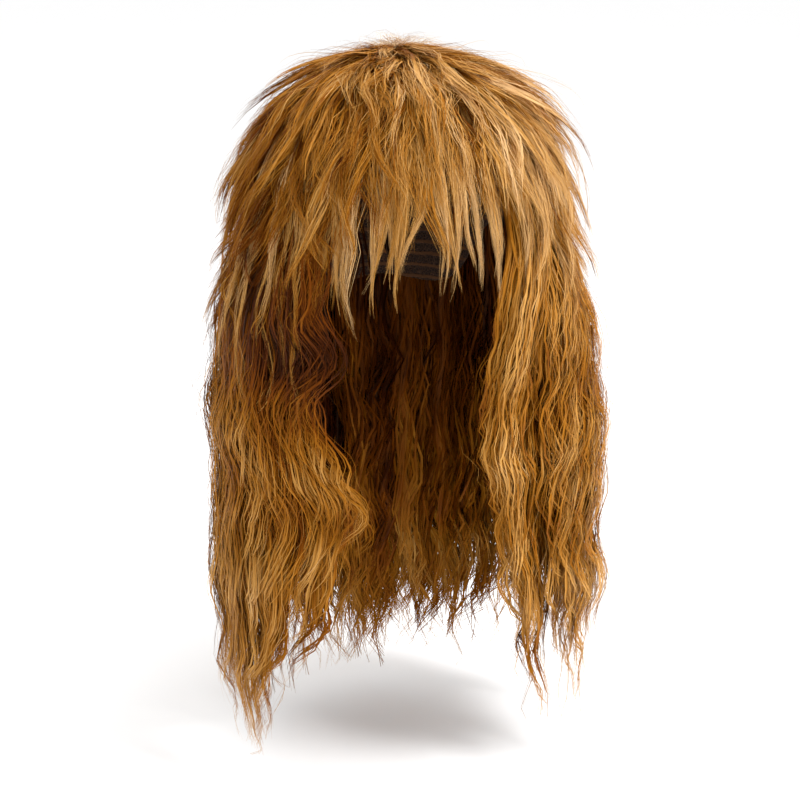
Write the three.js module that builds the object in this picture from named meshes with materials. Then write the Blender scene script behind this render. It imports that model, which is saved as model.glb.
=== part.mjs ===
// Shaggy wig: a hollow cap, a spiky fringe, three short layers over the dome, and long hair at the sides
// and back. Each layer is a closed shell of pointed locks that hangs outside the layer under it.
// Millimetres, +Z up, the face opening towards -Y. The origin is the top of the hollow in the cap.
import * as THREE from "three";

const { clamp, degToRad, lerp, radToDeg, smoothstep } = THREE.MathUtils;

// Head that the cap fits: half width, reach to the front and back, and dome over its widest level.
const HEAD_HALF_WIDTH = 76;
const HEAD_FRONT = 95;
const HEAD_BACK = 100;
const HEAD_DOME = 100;

// Cap: its wall, and the depth of its rim below the crown at places round the head.
const CAP_WALL = 2;
const RIM_FRONT = 60;
const RIM_TEMPLE = 84;
const RIM_EAR_TAB = 132;
const RIM_BEHIND_EAR = 112;
const RIM_NAPE = 165;

// Outer dome of the hair, about the same middle and over the same level as the head's.
const HAIR_HALF_WIDTH = 129;
const HAIR_FRONT = 115;
const HAIR_BACK = 120;
const HAIR_DOME = 112;

// Whorl that every lock runs out from, behind the middle of the crown.
const WHORL_BACK = 25;

// Fall below the dome: its greatest reach to each side, and that of the hollow it leaves for the neck.
const FALL_LEFT = 149;
const FALL_RIGHT = 163;
const FALL_FRONT = 78;
const FALL_BACK = 126;
const HOLLOW_SIDE = 94;
const HOLLOW_FRONT = 48;
const HOLLOW_BACK = 80;

// Depths below the crown that the longest locks of each hanging layer reach.
const LONG_HAIR_DEPTH = 500;
const UNDER_HAIR_DEPTH = 455;
const LOWER_LAYER_DEPTH = 205;
const FRINGE_DEPTH = 170;

// Lengths of the longest locks of the two upper layers, along the head from the whorl.
const MIDDLE_LAYER_RUN = 182;
const CROWN_LAYER_RUN = 118;

// Turn from the front at which the fringe meets the hair at the sides, and where the under hair starts.
const FACE_TURN = 34;
const UNDER_TURN = 50;

// Turn at which side hair meets back hair.
const BACK_TURN = 118;

// Room left below the tips of a layer before the one under it swells out.
const TIP_CLEAR = 6;

// Clearances: cap to hair at the roots and past them, one layer over another, and piece beside piece.
const SEAT_GAP = 0.3;
const STAND_OFF = 3;
const LAYER_GAP = 1.2;
const SIDE_GAP = 0.8;

// Thickness of a layer at its roots, and the length over which it swells to its full depth.
const ROOT_WALL = 2.4;
const SWELL_RUN = 34;

// Length and turn over which a layer rises to pass over the roots or the side edge of one below it.
const RISE_RUN = 14;
const RISE_TURN = 10;

// Shape of a lock: height of the valley beside it, of its free edges and of its tip, and how its
// cross-sections crowd towards the root.
const VALLEY_SHARE = 0.52;
const EDGE_SHARE = 0.4;
const TIP_SHARE = 0.62;
const ROW_POWER = 1.5;
const POLE_RUN = 7;

// Sections of the fall, as shares of its sizes above, from just under the dome to the tips.
const SECTIONS = [
  { down: 0.15, left: 0.915, right: 0.84, front: 1.34, back: 0.97, side: 0.81, face: 1.76, nape: 1.14 },
  { down: 0.3, left: 0.965, right: 0.955, front: 1.15, back: 1.0, side: 0.87, face: 1.34, nape: 1.0 },
  { down: 0.5, left: 1.0, right: 1.0, front: 0.97, back: 0.98, side: 0.96, face: 1.0, nape: 0.88 },
  { down: 0.65, left: 0.985, right: 0.99, front: 0.95, back: 0.97, side: 1.0, face: 0.95, nape: 0.92 },
  { down: 0.8, left: 0.98, right: 0.91, front: 0.97, back: 0.97, side: 1.02, face: 0.96, nape: 0.98 },
  { down: 0.92, left: 0.93, right: 0.81, front: 1.0, back: 0.95, side: 1.02, face: 1.0, nape: 1.03 },
  { down: 1.0, left: 0.87, right: 0.75, front: 1.0, back: 0.9, side: 1.0, face: 1.05, nape: 1.05 },
];

// Rim of the cap round the head, the same on both sides.
const RIM = [
  { turn: 0, depth: RIM_FRONT },
  { turn: 32, depth: RIM_FRONT },
  { turn: 46, depth: RIM_TEMPLE },
  { turn: 64, depth: RIM_EAR_TAB },
  { turn: 92, depth: RIM_BEHIND_EAR },
  { turn: 128, depth: RIM_NAPE },
  { turn: 180, depth: RIM_NAPE },
];

// Tips of each layer round the head, as shares of the layer's longest reach.
const LONG_TIPS = [
  { turn: 34, reach: 0.63 },
  { turn: 46, reach: 0.93 },
  { turn: 66, reach: 0.95 },
  { turn: 90, reach: 0.93 },
  { turn: 130, reach: 0.98 },
  { turn: 180, reach: 1.0 },
  { turn: 230, reach: 0.98 },
  { turn: 270, reach: 0.95 },
  { turn: 297, reach: 0.95 },
  { turn: 312, reach: 0.82 },
  { turn: 326, reach: 0.66 },
];
const UNDER_TIPS = [
  { turn: 50, reach: 0.82 },
  { turn: 90, reach: 0.93 },
  { turn: 180, reach: 1.0 },
  { turn: 270, reach: 0.95 },
  { turn: 310, reach: 0.8 },
];
const LOWER_TIPS = [
  { turn: 34, reach: 0.93 },
  { turn: 90, reach: 1.0 },
  { turn: 180, reach: 0.97 },
  { turn: 270, reach: 0.98 },
  { turn: 326, reach: 0.9 },
];
const FRINGE_TIPS = [
  { turn: 0, reach: 0.73 },
  { turn: 12, reach: 0.7 },
  { turn: 22, reach: 0.82 },
  { turn: 34, reach: 1.0 },
  { turn: 326, reach: 1.0 },
  { turn: 340, reach: 0.88 },
  { turn: 350, reach: 0.79 },
  { turn: 360, reach: 0.73 },
];
const MIDDLE_TIPS = [
  { turn: 0, reach: 0.88 },
  { turn: 40, reach: 0.92 },
  { turn: 90, reach: 0.95 },
  { turn: 180, reach: 1.0 },
  { turn: 270, reach: 0.95 },
  { turn: 320, reach: 0.92 },
  { turn: 360, reach: 0.88 },
];
const CROWN_TIPS = [
  { turn: 0, reach: 1.0 },
  { turn: 90, reach: 0.9 },
  { turn: 180, reach: 0.85 },
  { turn: 270, reach: 0.9 },
  { turn: 360, reach: 1.0 },
];

// Value of a table's column at a place between its rows, on a smooth curve through them.
function readTable(rows, key, place, column) {
  const last = rows.length - 1;
  const at = clamp(place, rows[0][key], rows[last][key]);
  const next = Math.max(1, rows.findIndex((row) => row[key] >= at));
  const slope = (index) => {
    const before = rows[Math.max(index - 1, 0)];
    const after = rows[Math.min(index + 1, last)];
    return (after[column] - before[column]) / (after[key] - before[key]);
  };
  const from = rows[next - 1];
  const to = rows[next];
  const span = to[key] - from[key];
  const t = (at - from[key]) / span;
  const bend = t * (1 - t) * span;
  const smooth = t * t * (3 - 2 * t);
  return lerp(from[column], to[column], smooth) + bend * ((1 - t) * slope(next - 1) - t * slope(next));
}

const wholeTurn = (turn) => ((turn % 360) + 360) % 360;

// Even, repeatable scatter between 0 and 1.
const GOLDEN_SHARE = 0.618034;
const scatter = (count) => (count * GOLDEN_SHARE) % 1;

// Surfaces that bound the hair: the outside of the head's cap with the hollow under it, and the outline.
const INSIDE = {
  dome: {
    left: HEAD_HALF_WIDTH + CAP_WALL,
    right: HEAD_HALF_WIDTH + CAP_WALL,
    front: HEAD_FRONT + CAP_WALL,
    back: HEAD_BACK + CAP_WALL,
  },
  height: HEAD_DOME + CAP_WALL,
  fall: { left: HOLLOW_SIDE, right: HOLLOW_SIDE, front: HOLLOW_FRONT, back: HOLLOW_BACK },
  columns: { left: "side", right: "side", front: "face", back: "nape" },
};
const OUTSIDE = {
  dome: { left: HAIR_HALF_WIDTH, right: HAIR_HALF_WIDTH, front: HAIR_FRONT, back: HAIR_BACK },
  height: HAIR_DOME,
  fall: { left: FALL_LEFT, right: FALL_RIGHT, front: FALL_FRONT, back: FALL_BACK },
  columns: { left: "left", right: "right", front: "front", back: "back" },
};

// Oval of a surface at a distance below the dome's edge.
function ovalAt(surface, below) {
  const down = below / (LONG_HAIR_DEPTH - HEAD_DOME);
  const joined = smoothstep(down, 0, SECTIONS[0].down);
  const size = (side) => {
    const share = readTable(SECTIONS, "down", down, surface.columns[side]);
    return lerp(surface.dome[side], surface.fall[side] * share, joined);
  };
  return { left: size("left"), right: size("right"), front: size("front"), back: size("back") };
}

// Distance from the whorl's axis to an oval, towards a turn.
function reachOf(oval, turn) {
  const x = Math.sin(degToRad(turn));
  const y = -Math.cos(degToRad(turn));
  const wide = x < 0 ? oval.left : oval.right;
  const crossing = (deep) => {
    const a = (x / wide) ** 2 + (y / deep) ** 2;
    const b = (WHORL_BACK * y) / deep ** 2;
    const c = (WHORL_BACK / deep) ** 2 - 1;
    return (Math.sqrt(b * b - a * c) - b) / a;
  };
  const behind = crossing(oval.back);
  return WHORL_BACK + behind * y >= 0 ? behind : crossing(oval.front);
}

// Length along the cap from the whorl to the dome's edge.
function domeRun(turn) {
  const reach = reachOf(INSIDE.dome, turn);
  return (Math.PI / 2) * Math.sqrt((reach ** 2 + INSIDE.height ** 2) / 2);
}

// Run from the whorl down to a depth below the crown, for depths under the dome.
const runToDepth = (turn, depth) => domeRun(turn) + depth - HEAD_DOME;

// Point of one bounding surface, at a turn and a run from the whorl.
function surfacePoint(surface, turn, run) {
  const edge = domeRun(turn);
  const below = Math.max(0, run - edge);
  const oval = ovalAt(surface, below);
  const lean = Math.sin((Math.PI / 2) * Math.min(1, run / edge));
  const reach = reachOf(oval, turn) * lean;
  const x = reach * Math.sin(degToRad(turn));
  const y = WHORL_BACK - reach * Math.cos(degToRad(turn));
  const wide = x < 0 ? oval.left : oval.right;
  const deep = y < 0 ? oval.front : oval.back;
  const open = below > 0 ? 0 : Math.max(0, 1 - (x / wide) ** 2 - (y / deep) ** 2);
  return new THREE.Vector3(x, y, surface.height * Math.sqrt(open) - HEAD_DOME - below);
}

// Full depth of the hair there, and the point at a depth over the cap.
const fullDepth = (turn, run) =>
  surfacePoint(INSIDE, turn, run).distanceTo(surfacePoint(OUTSIDE, turn, run));

function hairPoint(turn, run, depth) {
  const inside = surfacePoint(INSIDE, turn, run);
  const outside = surfacePoint(OUTSIDE, turn, run);
  return inside.lerp(outside, depth / inside.distanceTo(outside));
}

// Layers from the cap outwards. start is a share of the dome's run, fill the share that the layer takes
// of the depth left over the layers below, and bare that share past the tips of the layer above. split is
// the share of a lock's length where it parts from the next, and blunt how long it then stays wide.
const under = {
  rows: 9,
  start: 0.93,
  end: (turn) => runToDepth(turn, UNDER_HAIR_DEPTH * readTable(UNDER_TIPS, "turn", turn, "reach")),
  from: UNDER_TURN,
  to: 360 - UNDER_TURN,
  fill: 0.3,
  bare: 0.3,
  split: 0.5,
  blunt: 1.8,
  spread: 0.16,
  crimp: 0.25,
  below: [],
};
const long = {
  rows: 13,
  start: 0.74,
  end: (turn) => runToDepth(turn, LONG_HAIR_DEPTH * readTable(LONG_TIPS, "turn", turn, "reach")),
  from: FACE_TURN,
  to: 360 - FACE_TURN,
  fill: 0.5,
  bare: 0.96,
  split: 0.55,
  blunt: 2.1,
  spread: 0.15,
  crimp: 0.3,
  below: [under],
};
const lower = {
  rows: 8,
  start: 0.56,
  end: (turn) => runToDepth(turn, LOWER_LAYER_DEPTH * readTable(LOWER_TIPS, "turn", turn, "reach")),
  from: FACE_TURN,
  to: 360 - FACE_TURN,
  fill: 0.5,
  bare: 0.9,
  split: 0.5,
  blunt: 1.5,
  spread: 0.3,
  crimp: 0.1,
  below: [long],
};
const fringe = {
  rows: 8,
  start: 0.6,
  end: (turn) => runToDepth(turn, FRINGE_DEPTH * readTable(FRINGE_TIPS, "turn", turn, "reach")),
  from: -FACE_TURN,
  to: FACE_TURN,
  fill: 0.45,
  bare: 0.75,
  split: 0.3,
  blunt: 1.15,
  spread: 0.24,
  crimp: 0,
  below: [],
};
const middle = {
  rows: 8,
  start: 0.3,
  end: (turn) => MIDDLE_LAYER_RUN * readTable(MIDDLE_TIPS, "turn", turn, "reach"),
  from: 0,
  to: 360,
  fill: 0.6,
  bare: 0.85,
  split: 0.5,
  blunt: 1.4,
  spread: 0.26,
  crimp: 0,
  below: [lower, fringe],
};
const crown = {
  rows: 7,
  start: 0,
  end: (turn) => CROWN_LAYER_RUN * readTable(CROWN_TIPS, "turn", turn, "reach"),
  from: 0,
  to: 360,
  fill: 1,
  bare: 1,
  split: 0.5,
  blunt: 1.4,
  spread: 0.3,
  crimp: 0,
  below: [middle],
};
const LAYERS = [under, long, lower, fringe, middle, crown];
under.above = long;
long.above = lower;
lower.above = middle;
fringe.above = middle;
middle.above = crown;

const rootRun = (layer, turn) => Math.max(POLE_RUN, layer.start * domeRun(turn));
const endRun = (layer, turn) => layer.end(wholeTurn(turn));

// How far, from 0 to 1, a turn is within a layer's own range or the rise beside it.
function withinTurns(layer, turn) {
  if (layer.to - layer.from >= 360) {
    return 1;
  }
  const middleTurn = (layer.from + layer.to) / 2;
  const off = Math.abs(wholeTurn(turn - middleTurn + 180) - 180);
  const half = (layer.to - layer.from) / 2;
  return 1 - smoothstep(off, half, half + RISE_TURN);
}

// Runs of the cross-sections before and after a run, for a lock of full length.
function nearbyRuns(layer, turn, run) {
  const root = rootRun(layer, turn);
  const length = endRun(layer, turn) - root;
  const row = layer.rows * clamp((run - root) / length, 0, 1) ** (1 / ROW_POWER);
  const runOf = (at) => root + length * clamp(at / layer.rows, 0, 1) ** ROW_POWER;
  return [runOf(row - 1), runOf(row - 0.5), run, runOf(row + 0.5), runOf(row + 1)];
}

// Depth over the cap of a layer's underside: over the cap it allows for the chord of a lock, and over
// another layer it clears all that lies between this cross-section and the next ones.
function innerDepth(layer, turn, run) {
  const chord = HEAD_BACK * (1 - Math.cos(degToRad(layer.lockTurn / 2)));
  const lifted = smoothstep(run - rootRun(layer, turn), 0, SWELL_RUN);
  const overCap = SEAT_GAP + chord + STAND_OFF * lifted;
  let depth = overCap;
  for (const other of layer.below) {
    for (const step of [-1, -0.5, 0, 0.5, 1]) {
      const besideTurn = turn + step * layer.lockTurn;
      for (const besideRun of nearbyRuns(layer, turn, run)) {
        const root = rootRun(other, besideTurn);
        const risen = smoothstep(besideRun, root - RISE_RUN, root) * withinTurns(other, besideTurn);
        const cover = readGrid(other.grid, besideTurn, besideRun) + LAYER_GAP;
        depth = Math.max(depth, lerp(overCap, cover, risen));
      }
    }
  }
  return depth;
}

// Depth over the cap of a layer's ridges.
function outerDepth(layer, turn, run) {
  const inner = innerDepth(layer, turn, run);
  const grown = smoothstep(run - rootRun(layer, turn), 0, SWELL_RUN);
  const clear = layer.above ? endRun(layer.above, turn) + TIP_CLEAR : 0;
  const share = lerp(layer.fill, layer.bare, smoothstep(run, clear, clear + SWELL_RUN));
  return inner + Math.max(ROOT_WALL, grown * share * (fullDepth(turn, run) - inner));
}

// Depth of a layer's ridges worked out once on a grid of turns and runs, and read between its points.
const GRID_TURN = 5;
const GRID_RUN = 6;

function makeGrid(layer) {
  const grid = [];
  for (let turn = 0; turn < 360; turn += GRID_TURN) {
    const root = rootRun(layer, turn);
    const end = endRun(layer, turn) + GRID_RUN;
    const column = [];
    for (let run = 0; run < end + GRID_RUN; run += GRID_RUN) {
      column.push(outerDepth(layer, turn, clamp(run, root, end)));
    }
    grid.push(column);
  }
  return grid;
}

function readGrid(grid, turn, run) {
  const column = wholeTurn(turn) / GRID_TURN;
  const before = Math.floor(column);
  const depthIn = (values) => {
    const row = clamp(run / GRID_RUN, 0, values.length - 1.001);
    const above = Math.floor(row);
    return lerp(values[above], values[above + 1], row - above);
  };
  return lerp(depthIn(grid[before % grid.length]), depthIn(grid[(before + 1) % grid.length]), column - before);
}

// Wavelength of the crimp in the long locks.
const CRIMP_LENGTH = 92;

// Closed shell of locks between two turns: ridged on the outside, joined beside each other down to a split,
// and pointed below it. Locks at the ends of the range have free edges all the way.
function lockShell(layer, from, to, locks) {
  const ring = to - from >= 360;
  const corners = [];
  const half = (to - from) / locks / 2;
  const inset = ring ? 0 : radToDeg(SIDE_GAP / 2 / HAIR_HALF_WIDTH);
  const centre = (lock) => from + (2 * lock + 1) * half;
  const last = layer.rows;

  const addFace = (...loop) => {
    for (let i = 1; i < loop.length - 1; i += 1) {
      corners.push(loop[0], loop[i], loop[i + 1]);
    }
  };

  const lockEnd = (lock) => {
    const turn = centre(lock);
    const root = rootRun(layer, turn);
    const shorter = 1 - layer.spread * scatter(3 * lock + 2);
    return root + (endRun(layer, turn) - root) * shorter;
  };
  const runAt = (lock, row) => {
    const root = rootRun(layer, centre(lock));
    return lerp(root, lockEnd(lock), (row / last) ** ROW_POWER);
  };
  const splitRow = (edge) => {
    if (!ring && (edge === 0 || edge === locks)) {
      return -1;
    }
    return Math.round(last * (layer.split + 0.25 * (scatter(edge % locks) - 0.5)));
  };
  const taper = (edge, row) => {
    const start = splitRow(edge) < 0 ? layer.split * last : splitRow(edge);
    const past = clamp((row - start) / (last - start), 0, 1);
    return 1 - past ** layer.blunt;
  };

  // Points on the joined line between two locks, one on each face of the shell.
  const joinedPoints = (edge, row) => {
    const before = (edge - 1 + locks) % locks;
    const run = (runAt(before, row) + runAt(edge % locks, row)) / 2;
    const turn = from + 2 * half * edge;
    const inner = innerDepth(layer, turn, run);
    const outer = outerDepth(layer, turn, run);
    return {
      out: hairPoint(turn, run, lerp(inner, outer, VALLEY_SHARE)),
      in: hairPoint(turn, run, inner),
      free: false,
    };
  };

  // Point on the free edge of one lock, on the side that side (-1 or 1) names.
  const freePoint = (lock, side, row) => {
    const run = runAt(lock, row);
    const turn = centre(lock) + drift(lock, row) + side * (half * taper(lock + (side + 1) / 2, row) - inset);
    const inner = innerDepth(layer, turn, run);
    const outer = outerDepth(layer, turn, run);
    const point = hairPoint(turn, run, lerp(inner, outer, EDGE_SHARE));
    return { out: point, in: point, free: true };
  };
  const sidePoints = (lock, side, row) => {
    const edge = lock + (side + 1) / 2;
    return row <= splitRow(edge) ? joinedPoints(edge, row) : freePoint(lock, side, row);
  };

  // Sideways lean of a lock's pointed end, kept within the room that its own taper leaves.
  const drift = (lock, row) => {
    const room = 1 - Math.max(taper(lock, row), taper(lock + 1, row));
    return half * room * 1.7 * (scatter(5 * lock + 1) - 0.5);
  };
  const ridgePoint = (lock, row) => {
    const run = runAt(lock, row);
    const turn = centre(lock) + drift(lock, row);
    const inner = innerDepth(layer, turn, run);
    const outer = outerDepth(layer, turn, run);
    const wave = Math.cos(2 * Math.PI * (run / CRIMP_LENGTH + scatter(2 * lock)));
    const height = 1 - layer.crimp * (0.5 - 0.5 * wave);
    const full = lerp(TIP_SHARE, height, Math.min(taper(lock, row), taper(lock + 1, row)));
    return hairPoint(turn, run, lerp(inner, outer, full));
  };

  for (let lock = 0; lock < locks; lock += 1) {
    const tipTurn = centre(lock) + drift(lock, last);
    const tipRun = runAt(lock, last);
    const tipInner = innerDepth(layer, tipTurn, tipRun);
    const tipOuter = outerDepth(layer, tipTurn, tipRun);
    const tip = hairPoint(tipTurn, tipRun, lerp(tipInner, tipOuter, TIP_SHARE));
    for (let row = 0; row < last; row += 1) {
      const left = sidePoints(lock, -1, row);
      const right = sidePoints(lock, 1, row);
      const ridge = ridgePoint(lock, row);
      if (row === 0 && layer.start > 0) {
        addFace(...new Set([left.out, ridge, right.out, right.in, left.in]));
      }
      if (row === 0 && layer.start === 0) {
        const pole = innerDepth(layer, 0, 0);
        const top = hairPoint(0, 0, fullDepth(0, 0));
        addFace(top, left.out, ridge);
        addFace(top, ridge, right.out);
        addFace(hairPoint(0, 0, pole), right.in, left.in);
      }
      if (row === last - 1) {
        addFace(left.out, tip, ridge);
        addFace(ridge, tip, right.out);
        addFace(left.in, right.in, tip);
        continue;
      }
      const leftNext = sidePoints(lock, -1, row + 1);
      const rightNext = sidePoints(lock, 1, row + 1);
      const ridgeNext = ridgePoint(lock, row + 1);
      addFace(left.out, leftNext.out, ridgeNext, ridge);
      addFace(ridge, ridgeNext, rightNext.out, right.out);
      addFace(left.in, right.in, rightNext.in, leftNext.in);
      if (!left.free && leftNext.free) {
        addFace(left.in, leftNext.out, left.out);
      }
      if (!right.free && rightNext.free) {
        addFace(right.out, rightNext.out, right.in);
      }
    }
  }
  return corners;
}

// Geometry of a list of triangle corners.
function geometryOf(corners) {
  const geometry = new THREE.BufferGeometry().setFromPoints(corners);
  geometry.computeVertexNormals();
  return geometry;
}

// Cap: an open dome with two faces, from a pole at the whorl down to its rim.
const CAP_COLUMNS = 36;
const CAP_ROWS = 8;

function capGeometry() {
  const corners = [];
  const rimRun = (turn) => {
    const folded = Math.min(wholeTurn(turn), 360 - wholeTurn(turn));
    const depth = readTable(RIM, "turn", folded, "depth");
    if (depth >= HEAD_DOME) {
      return runToDepth(turn, depth);
    }
    const height = (HEAD_DOME - depth) / INSIDE.height;
    return domeRun(turn) * (Math.acos(height) / (Math.PI / 2));
  };
  const point = (column, row, depth) => {
    const turn = (360 / CAP_COLUMNS) * (column % CAP_COLUMNS);
    return hairPoint(turn, (rimRun(turn) * row) / CAP_ROWS, depth);
  };
  for (let column = 0; column < CAP_COLUMNS; column += 1) {
    for (let row = 0; row < CAP_ROWS; row += 1) {
      const outer = [
        point(column, row, 0),
        point(column, row + 1, 0),
        point(column + 1, row + 1, 0),
        point(column + 1, row, 0),
      ];
      const inner = [
        point(column, row, -CAP_WALL),
        point(column + 1, row, -CAP_WALL),
        point(column + 1, row + 1, -CAP_WALL),
        point(column, row + 1, -CAP_WALL),
      ];
      corners.push(outer[0], outer[1], outer[2]);
      corners.push(inner[0], inner[2], inner[3]);
      if (row > 0) {
        corners.push(outer[0], outer[2], outer[3]);
        corners.push(inner[0], inner[1], inner[2]);
      }
      if (row === CAP_ROWS - 1) {
        corners.push(outer[1], inner[3], inner[2]);
        corners.push(outer[1], inner[2], outer[2]);
      }
    }
  }
  return geometryOf(corners);
}

// Nodes of each layer: name, turns and number of locks.
const PIECES = [
  { name: "under_hair_right", layer: under, from: UNDER_TURN, to: BACK_TURN, locks: 6 },
  { name: "under_hair_back", layer: under, from: BACK_TURN, to: 360 - BACK_TURN, locks: 11 },
  { name: "under_hair_left", layer: under, from: 360 - BACK_TURN, to: 360 - UNDER_TURN, locks: 6 },
  { name: "long_hair_right", layer: long, from: FACE_TURN, to: BACK_TURN, locks: 10 },
  { name: "long_hair_back", layer: long, from: BACK_TURN, to: 360 - BACK_TURN, locks: 15 },
  { name: "long_hair_left", layer: long, from: 360 - BACK_TURN, to: 360 - FACE_TURN, locks: 10 },
  { name: "lower_layer", layer: lower, from: FACE_TURN, to: 360 - FACE_TURN, locks: 30 },
  { name: "fringe", layer: fringe, from: -FACE_TURN, to: FACE_TURN, locks: 14 },
  { name: "middle_layer", layer: middle, from: 0, to: 360, locks: 36 },
  { name: "crown_layer", layer: crown, from: 0, to: 360, locks: 26 },
];
for (const layer of LAYERS) {
  const own = PIECES.filter((piece) => piece.layer === layer);
  layer.lockTurn = Math.max(...own.map((piece) => (piece.to - piece.from) / piece.locks));
  layer.grid = makeGrid(layer);
}

// Golden brown hair, darker underneath, over a dark net cap.
const hairColours = new Map([
  [under, "#5d3614"],
  [long, "#a36a2e"],
  [lower, "#a97033"],
  [fringe, "#b57c3c"],
  [middle, "#b07636"],
  [crown, "#b98040"],
]);
const hairMaterial = (layer) =>
  new THREE.MeshStandardMaterial({ color: hairColours.get(layer), roughness: 0.6, metalness: 0 });
const capMaterial = new THREE.MeshStandardMaterial({ color: "#2e2118", roughness: 0.9, metalness: 0 });

const group = new THREE.Group();
const cap = new THREE.Mesh(capGeometry(), capMaterial);
cap.name = "wig_cap";
group.add(cap);
for (const { name, layer, from, to, locks } of PIECES) {
  const mesh = new THREE.Mesh(geometryOf(lockShell(layer, from, to, locks)), hairMaterial(layer));
  mesh.name = name;
  group.add(mesh);
}

export default group;
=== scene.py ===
import math

import bpy
import numpy as np
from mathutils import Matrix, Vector


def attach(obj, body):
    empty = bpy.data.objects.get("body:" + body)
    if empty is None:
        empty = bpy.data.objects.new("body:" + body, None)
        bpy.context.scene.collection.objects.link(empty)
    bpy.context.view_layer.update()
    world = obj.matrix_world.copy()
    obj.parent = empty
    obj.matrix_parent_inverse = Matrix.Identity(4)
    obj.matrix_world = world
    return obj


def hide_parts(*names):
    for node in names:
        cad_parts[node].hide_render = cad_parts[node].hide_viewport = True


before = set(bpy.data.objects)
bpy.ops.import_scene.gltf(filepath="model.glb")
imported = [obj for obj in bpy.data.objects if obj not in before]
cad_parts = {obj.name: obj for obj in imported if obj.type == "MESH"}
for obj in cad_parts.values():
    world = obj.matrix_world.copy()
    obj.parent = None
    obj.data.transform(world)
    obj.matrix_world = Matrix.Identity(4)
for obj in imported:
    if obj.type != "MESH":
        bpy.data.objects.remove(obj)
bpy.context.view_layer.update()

# Metres, in the frame of the solids: the crown of the head at the origin, the face towards -Y.
MM = 0.001

# Head that the cap fits, and the cap's wall.
HEAD_HALF_WIDTH = 76 * MM
HEAD_FRONT = 95 * MM
HEAD_BACK = 100 * MM
HEAD_DOME = 100 * MM
CAP_WALL = 2 * MM

# Outer dome of the hair, and the whorl that every lock runs out from.
HAIR_LEFT = 129 * MM
HAIR_RIGHT = 132 * MM
HAIR_FRONT = 115 * MM
HAIR_BACK = 120 * MM
HAIR_DOME = 118 * MM
HAIR_FULLNESS = 1.25
RIGHT_FULLER = 0.22
WHORL_BACK = 25 * MM

# Fall of the long hair below the dome, and of the hollow that it leaves for the neck.
FALL_LEFT = 149 * MM
FALL_RIGHT = 163 * MM
FALL_FRONT = 78 * MM
FALL_BACK = 126 * MM
HOLLOW_SIDE = 94 * MM
HOLLOW_FRONT = 48 * MM
HOLLOW_BACK = 80 * MM
LONG_HAIR_DEPTH = 500 * MM
UNDER_HAIR_DEPTH = 455 * MM
LONGEST = 520 * MM

# Turns from the front where the fringe meets the side hair, the under hair starts, and the back begins.
FACE_TURN = 34
UNDER_TURN = 50
BACK_TURN = 118

# Sections of the fall, as shares of its sizes, from just under the dome to the tips.
SECTIONS = {
    "down": (0.15, 0.3, 0.5, 0.65, 0.8, 0.92, 1.0),
    "left": (0.915, 0.95, 0.96, 0.97, 0.98, 0.965, 0.92),
    "right": (0.86, 0.945, 0.985, 1.0, 1.02, 1.02, 0.99),
    "front": (1.34, 1.15, 0.97, 0.95, 0.97, 1.0, 1.0),
    "back": (0.97, 1.0, 0.98, 0.97, 0.97, 0.95, 0.9),
    "side": (0.81, 0.87, 0.96, 1.0, 1.02, 1.02, 1.0),
    "face": (1.76, 1.34, 1.0, 0.95, 0.96, 1.0, 1.05),
    "nape": (1.14, 1.0, 0.88, 0.92, 0.98, 1.03, 1.05),
}

# Tips of the layers round the head, as shares of each layer's longest reach.
LONG_TIPS = {
    "turn": (34, 46, 66, 90, 130, 180, 230, 270, 297, 312, 326),
    "reach": (0.66, 0.98, 1.0, 0.96, 0.98, 1.0, 0.98, 0.97, 1.02, 0.93, 0.7),
}
UNDER_TIPS = {"turn": (50, 90, 180, 270, 310), "reach": (0.72, 0.9, 1.0, 0.95, 0.8)}

# Turns towards the face by which the inner edges of the long hair stray, at depths below the crown.
EDGE_STRAY = {
    "depth": (100, 140, 170, 200, 238, 270, 298, 330, 396, 460),
    "left": (-3, -4, -5, -8, -9, -5, 0, 0, -9, -18),
    "right": (1, 7, 9, 8, 8, 5, -1, -4, -7, -12),
}


def smooth(value, low, high):
    share = np.clip((value - low) / (high - low), 0, 1)
    return share * share * (3 - 2 * share)


def read_table(table, key, at, column):
    """Value of a column at places between its rows, on a smooth curve through them."""
    keys = np.array(table[key], float)
    values = np.array(table[column], float)
    ahead = np.minimum(np.arange(len(keys)) + 1, len(keys) - 1)
    behind = np.maximum(np.arange(len(keys)) - 1, 0)
    slopes = (values[ahead] - values[behind]) / (keys[ahead] - keys[behind])
    at = np.clip(at, keys[0], keys[-1])
    high = np.clip(np.searchsorted(keys, at), 1, len(keys) - 1)
    low = high - 1
    span = keys[high] - keys[low]
    t = (at - keys[low]) / span
    bend = t * (1 - t) * span
    mixed = values[low] + (values[high] - values[low]) * t * t * (3 - 2 * t)
    return mixed + bend * ((1 - t) * slopes[low] - t * slopes[high])


# The two surfaces that the hair lies between: the cap's own outside, and the outside of the hair. Each dome
# and fall has its reach to the left, right, front and back, and the columns name their tables of shares.
CAP_HALF_WIDTH = HEAD_HALF_WIDTH + CAP_WALL
INSIDE = {
    "dome": (CAP_HALF_WIDTH, CAP_HALF_WIDTH, HEAD_FRONT + CAP_WALL, HEAD_BACK + CAP_WALL),
    "height": HEAD_DOME + CAP_WALL,
    "fullness": (1, 0),
    "fall": (HOLLOW_SIDE, HOLLOW_SIDE, HOLLOW_FRONT, HOLLOW_BACK),
    "columns": ("side", "side", "face", "nape"),
}
OUTSIDE = {
    "dome": (HAIR_LEFT, HAIR_RIGHT, HAIR_FRONT, HAIR_BACK),
    "height": HAIR_DOME,
    "fullness": (HAIR_FULLNESS, RIGHT_FULLER),
    "fall": (FALL_LEFT, FALL_RIGHT, FALL_FRONT, FALL_BACK),
    "columns": ("left", "right", "front", "back"),
}


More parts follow.
